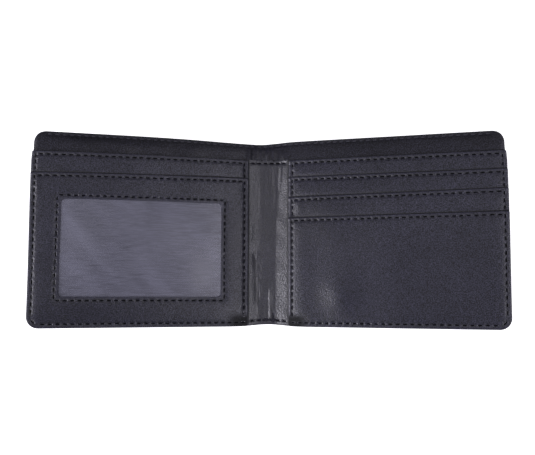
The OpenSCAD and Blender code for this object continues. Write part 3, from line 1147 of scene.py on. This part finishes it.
def pocket_hem(node, side, width):
    """A pocket's leather turned in along its two ends and its bottom."""
    x, y, z, thickness = extent(node)
    rim = min(thickness / 2, 0.25)
    path = [(x[0], y[1] - rim, 0), (x[0], y[0], 0.8), (x[1], y[0], CORNER), (x[1], y[1] - rim, 0)]
    grid = frame_path(path, width, rim, 1.2)
    piece = shell(node + "_skin", side, grid, z, thickness, rim)
    finish(piece, "pocket_leather", [node], side)


LEAST_FRAME = 3


def window_box():
    """Lowest and highest corner of the window's opening."""
    points = flat_points("id_pocket")[:, :2] * [LEFT, 1]
    low, high = points.min(0) + LEAST_FRAME, points.max(0) - LEAST_FRAME
    inside = points[((points > low) & (points < high)).all(1)]
    return inside.min(0), inside.max(0)


WINDOW_LOW, WINDOW_HIGH = window_box()
WINDOW_CORNER = 1.8


def window_film(side):
    """The clear window, a little buckled between the seams that hold it."""
    x, y, z, thickness = extent("window_film")
    middle = (WINDOW_LOW + WINDOW_HIGH) / 2

    def relief(xy):
        u = (np.abs(xy[:, 0]) - middle[0]) / (WINDOW_HIGH[0] - WINDOW_LOW[0])
        v = (xy[:, 1] - middle[1]) / (WINDOW_HIGH[1] - WINDOW_LOW[1])
        held = smoothstep(0.5 - np.abs(u), 0, 0.2) * smoothstep(0.5 - np.abs(v), 0, 0.25)
        band = np.sin(5.2 * (u * 0.9 - v * 0.75) + 0.8)
        bulge = 0.4 * np.maximum(1 - 4 * u ** 2, 0) * np.maximum(1 - 4 * v ** 2, 0)
        return held * (0.34 * band + 0.08 * np.sin(9 * u + 6 * v) + 0.28) + bulge - 0.02

    grid = rectangle(x, y, thickness / 2, 1.3, corners=(0.6, CORNER, 0.6, 0.6))
    piece = shell("window_film_sheet", side, grid, z, thickness, top=relief, under=relief)
    finish(piece, "window_film", ["window_film"], side)


def id_pocket(side):
    """The pocket with the window: a leather frame sewn round the film."""
    x, y, z, thickness = extent("id_pocket")
    rim = thickness / 2
    height = round(z + thickness, 1)
    rows = stitches_at(side, height)
    window_seam = WINDOW_LOW[0] - np.abs(STITCHES[side]["window_stitches"][:, 0]).min()
    relief = together(
        sewn(rows, crown=0.12, reach=3),
        mouth(y[1]),
        waves(41, 0.14, 30),
        dimples((-14, BOTTOM + 4, 0.4, 5, 3.5), (-13, 22, 0.12, 3, 5), (-END + 3, 20.5, -0.45, 1.3, 5)))
    skew = tilted(ID_EDGE, y[1] - 9, y[1])
    near_in = [rim, 0.5] + [window_seam + o for o in SEAM_LINES[1:]]
    seam_in = END - EDGE_X
    near_out = [seam_in + o for o in reversed(SEAM_LINES)] + [0.45, rim]
    counts = (round((y[1] - y[0]) / FINE), round((x[1] - x[0]) / FINE))
    grid = rings(near_in, (WINDOW_LOW, WINDOW_HIGH), near_out,
                 (np.array([x[0], y[0]]), np.array([x[1], y[1]])),
                 (WINDOW_CORNER,) * 4, (CORNER, 0.6, 0.6, 0.8), counts)
    piece = shell("id_pocket_skin", side, grid, z, thickness, rim, top=relief, wrap=True, skew=skew,
                  shade=corner_shadow)
    SURFACES[side][height] = (relief, skew, z + thickness)
    finish(piece, "pocket_leather", ["id_pocket"], side)


# How much paler the facing's thread is painted: a painted highlight of the thread on its ridge.
MOUTH_THREAD_HIGHLIGHT = 0.45


def threads(side, node):
    """One seam's thread, a stitch at a time, from the CAD node of its stitches."""
    kind = node.split("_")[0]
    crosses = kind in SPINE_ROWS
    piece = thread_mesh(node.replace("stitches", "threads"), STITCHES[side][node], SURFACES[side])
    # The facing's stitches get a painted highlight, as if they caught the light on their ridge.
    rub_and_highlight = MOUTH_THREAD_HIGHLIGHT if kind == "facing" else 0
    add_attribute(piece, "wear_and_highlight", np.full(len(piece.data.vertices), rub_and_highlight))
    finish(piece, "thread", nodes_across(kind + "_stitches", side) if crosses else [node], side, crosses)


def stiffener(side):
    """The board inside the cover is the CAD's own solid, with its own material."""
    node = frame["nodes"]["stiffener_" + WORD[side]]
    for place_in in node.material_slots:
        place_in.material = LOOKS["stiffener_card"]


HEM_WIDTH = 3.5


def top_of(node):
    return flat_box(node)[1][1]


DIVIDER_EDGE = slant(DIVIDER_TOP)
ID_EDGE = slant(top_of("id_pocket"), 0.5, -0.5)
UPPER_EDGE = slant(top_of("card_pocket_upper"), 0.1, -0.2)
MIDDLE_EDGE = slant(top_of("card_pocket_middle"), -0.6, 0.3)
FRONT_EDGE = slant(top_of("front_pocket"), -0.3, 0.1)

for side in (LEFT, RIGHT):
    cover(side)
    stiffener(side)
    facing(side)
    note_lining(side)
    cover_hem(side)
    divider_lining(side)
    spine_strip(side)
    pocket_back(side)

pocket("divider_band_left", LEFT, DIVIDER_EDGE, next_edge=ID_EDGE, seed=51)
pocket_hem("id_pocket_hem", LEFT, HEM_WIDTH)
window_film(LEFT)
id_pocket(LEFT)

pocket("divider_band_right", RIGHT, DIVIDER_EDGE, next_edge=UPPER_EDGE, seed=61)
pocket("card_pocket_upper", RIGHT, UPPER_EDGE, next_edge=MIDDLE_EDGE, seed=62)
pocket("card_pocket_middle", RIGHT, MIDDLE_EDGE, next_edge=FRONT_EDGE, seed=63,
       extra=dimples((15.5, 12.5, -0.15, 2, 4.5)))
pocket_lining("card_lining_upper", RIGHT)
pocket_lining("card_lining_middle", RIGHT)
pocket_hem("front_pocket_hem", RIGHT, HEM_WIDTH)
pocket("front_pocket", RIGHT, FRONT_EDGE, seed=64, corners=(0.8, CORNER, 0.6, 0.6), crown=0.12,
       extra=dimples((14, BOTTOM + 3, 0.4, 4, 3), (35, -31, -0.95, 8, 8), (28, 2, -0.2, 9, 6)))

for side in (LEFT, RIGHT):
    for node in STITCHES[side]:
        threads(side, node)

# ------------------------------------------------------------------ camera, floor and lights

CAMERA_AT = Vector((-0.47, 2.78, 0))
CAMERA_DISTANCE = 294.3
CAMERA_TILT = math.radians(6.26)
CAMERA_HEADING = math.radians(7.08)
CAMERA_ROLL = math.radians(0.12)
CAMERA_LENS = 39.15
SENSOR = 36


def look_along(thing, direction, roll=0.0):
    """Points a camera or light along a direction, with its own up as near +Y as that allows."""
    ahead = direction.normalized()
    right = ahead.cross(Vector((0, 1, 0))).normalized()
    up = right.cross(ahead)
    turn = Matrix((right, up, -ahead)).transposed()
    thing.rotation_euler = (turn @ Matrix.Rotation(roll, 3, "Z")).to_euler()


def camera():
    data = bpy.data.cameras.new("camera")
    data.lens = CAMERA_LENS
    data.sensor_width = SENSOR
    data.clip_start = 0.01
    thing = in_scene("camera", data)
    sideways = math.sin(CAMERA_TILT)
    ahead = Vector((-sideways * math.sin(CAMERA_HEADING), sideways * math.cos(CAMERA_HEADING),
                    -math.cos(CAMERA_TILT)))
    thing.location = (CAMERA_AT - ahead * CAMERA_DISTANCE) * MM
    look_along(thing, ahead, CAMERA_ROLL)
    bpy.context.scene.camera = thing


def floor():
    """A plain pale floor, just under the wallet."""
    size, drop = 2.0, 0.0002
    corners = [(-size, -size, -drop), (size, -size, -drop), (size, size, -drop), (-size, size, -drop)]
    piece = mesh_piece("floor", np.array(corners), [(0, 1, 2, 3)])
    material, tree, shader = blank("pale_floor")
    pale = mixed(tree, noise(tree, here(tree), 3, 2), (0.9, 0.9, 0.9, 1), (0.93, 0.93, 0.93, 1))
    feed(tree, shader, {"Base Color": pale, "Roughness": 0.9, "Specular IOR Level": 0.1,
                        "Emission Color": (1, 1, 1, 1), "Emission Strength": 0.9})
    piece.data.materials.append(material)


COOL = (0.935, 0.915, 1)


def softbox(name, lean_x, lean_y, size, power, distance=0.9):
    """A rectangular light that leans that many degrees from overhead, towards +X and +Y."""
    data = bpy.data.lights.new(name, "AREA")
    data.shape = "RECTANGLE"
    data.size, data.size_y = size
    data.energy = power
    data.color = COOL
    thing = in_scene(name, data)
    away = Vector((math.tan(math.radians(lean_x)), math.tan(math.radians(lean_y)), 1)).normalized()
    thing.location = away * distance
    look_along(thing, -away)


def lights():
    softbox("key", -48, -20, (0.36, 0.75), 7.8)
    softbox("top", -8, 14, (0.3, 0.4), 0.42)
    softbox("right_front", 35, -27, (0.22, 0.45), 1.6)
    softbox("right_back", 27, 10, (0.13, 0.75), 1.65)
    world = bpy.data.worlds.new("studio")
    world.use_nodes = True
    world.node_tree.nodes["Background"].inputs["Color"].default_value = (0.8, 0.86, 1, 1)
    world.node_tree.nodes["Background"].inputs["Strength"].default_value = 0.03
    bpy.context.scene.world = world
    bpy.context.scene.view_settings.view_transform = "Standard"


camera()
floor()
lights()
